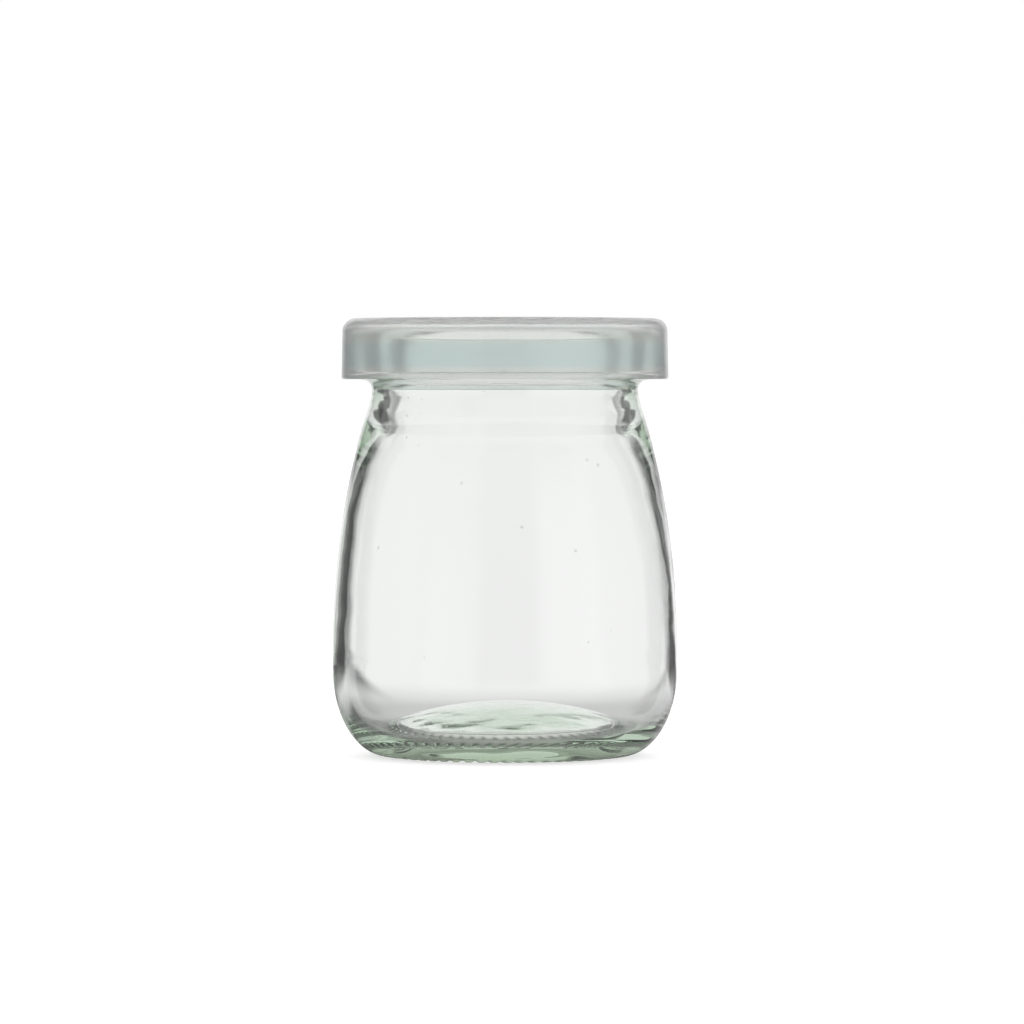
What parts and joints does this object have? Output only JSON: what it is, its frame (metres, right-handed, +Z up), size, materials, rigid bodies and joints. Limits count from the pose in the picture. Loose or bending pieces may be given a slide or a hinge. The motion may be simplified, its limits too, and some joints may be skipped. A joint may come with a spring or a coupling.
{
  "type": "glass pudding jar",
  "caption": "Small clear glass jar with a rounded belly, narrow neck and press-on translucent lid, for a single portion of pudding or yogurt.",
  "frame": {"origin": "middle of the ring that the jar stands on, at the level of the ring", "axes": "+Z up along the jar's axis, towards the lid; the jar is turned, so X and Y are alike"},
  "size_m": [0.0554, 0.0554, 0.07],
  "materials": {
    "jar_glass": "clear pressed soda-lime glass, faintly green where it is thick, fire-polished",
    "lid_plastic": "milky translucent polyethylene, soft satin"
  },
  "bodies": {
    "root": {"glass_jar": "jar_glass", "press_on_lid": "lid_plastic"}
  },
  "joints": []
}
